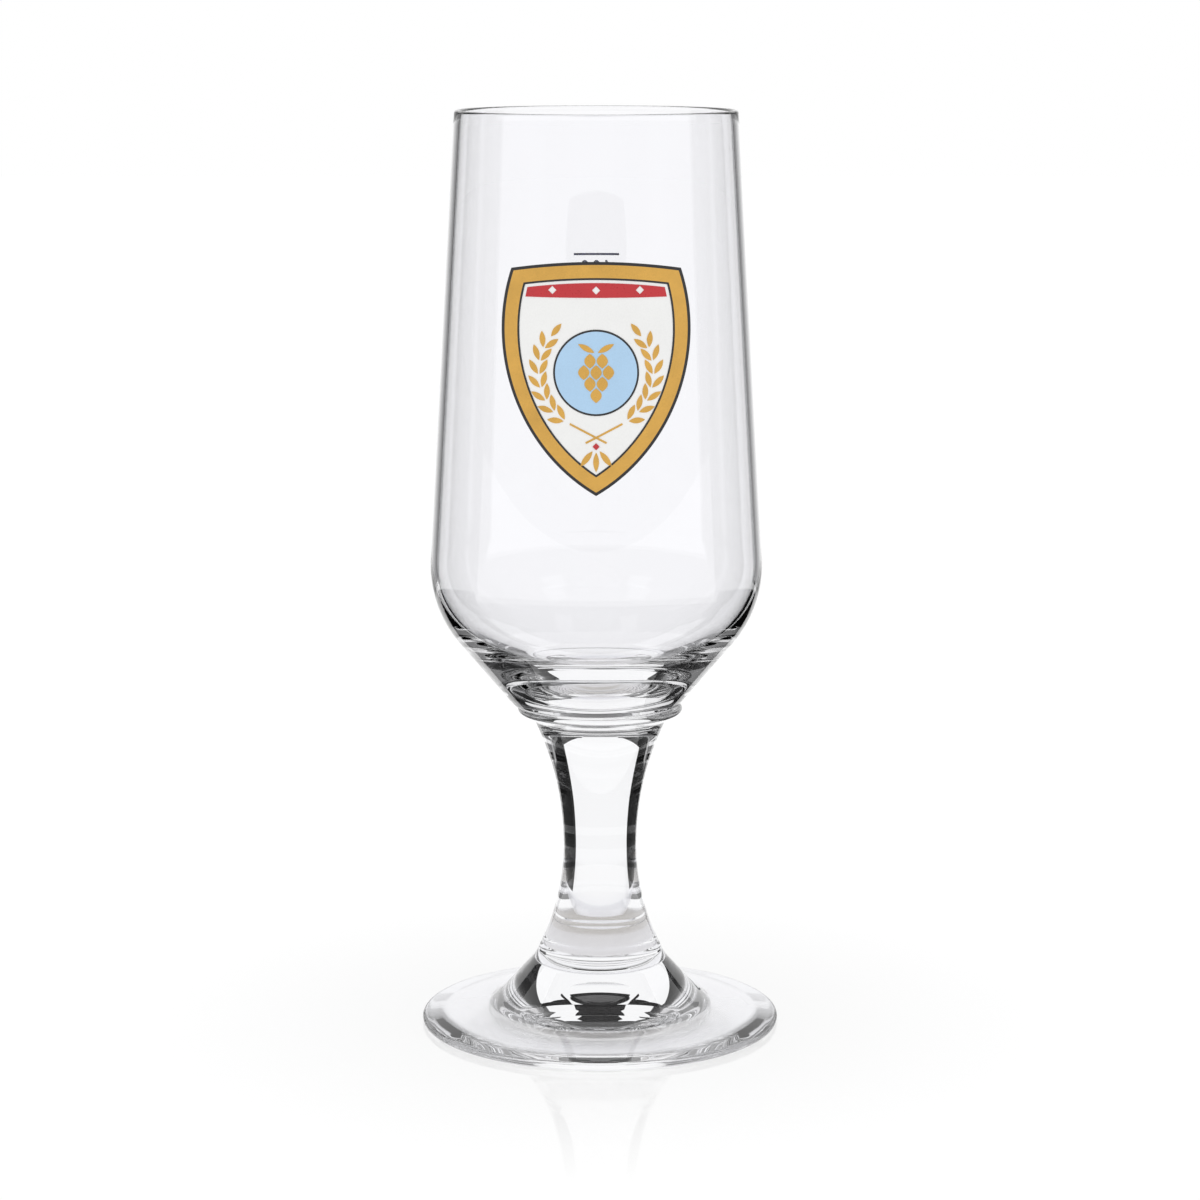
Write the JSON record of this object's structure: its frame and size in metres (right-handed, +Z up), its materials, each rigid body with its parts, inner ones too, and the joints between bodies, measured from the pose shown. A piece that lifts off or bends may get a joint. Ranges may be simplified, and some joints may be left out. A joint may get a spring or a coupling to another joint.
{
  "type": "pilsner glass",
  "caption": "Stemmed beer glass: tapered blown bowl with a thick conical bottom, waisted stem, round foot, enamel crest on the front and a fill line on the back.",
  "frame": {"origin": "middle of the foot's underside, on the surface that the glass stands on", "axes": "+Z up along the stem, the crest on the front at -Y, +X to the right as seen from the front"},
  "size_m": [0.0884, 0.0884, 0.225],
  "materials": {
    "clear_glass": "clear, fire-polished",
    "white_enamel": "fired enamel, satin",
    "blue_enamel": "fired enamel, satin",
    "gold_enamel": "fired lustre, satin",
    "black_enamel": "fired enamel, satin",
    "red_enamel": "fired enamel, satin",
    "line_enamel": "fired enamel, satin"
  },
  "bodies": {
    "root": {"bowl": "clear_glass", "stem": "clear_glass", "foot": "clear_glass", "crest_ground": "white_enamel", "crest_disc": "blue_enamel", "crest_band": "gold_enamel", "crest_outline": "black_enamel", "crest_barley": "gold_enamel", "crest_hop": "gold_enamel", "crest_bar": "red_enamel", "fill_line": "line_enamel"}
  },
  "joints": []
}
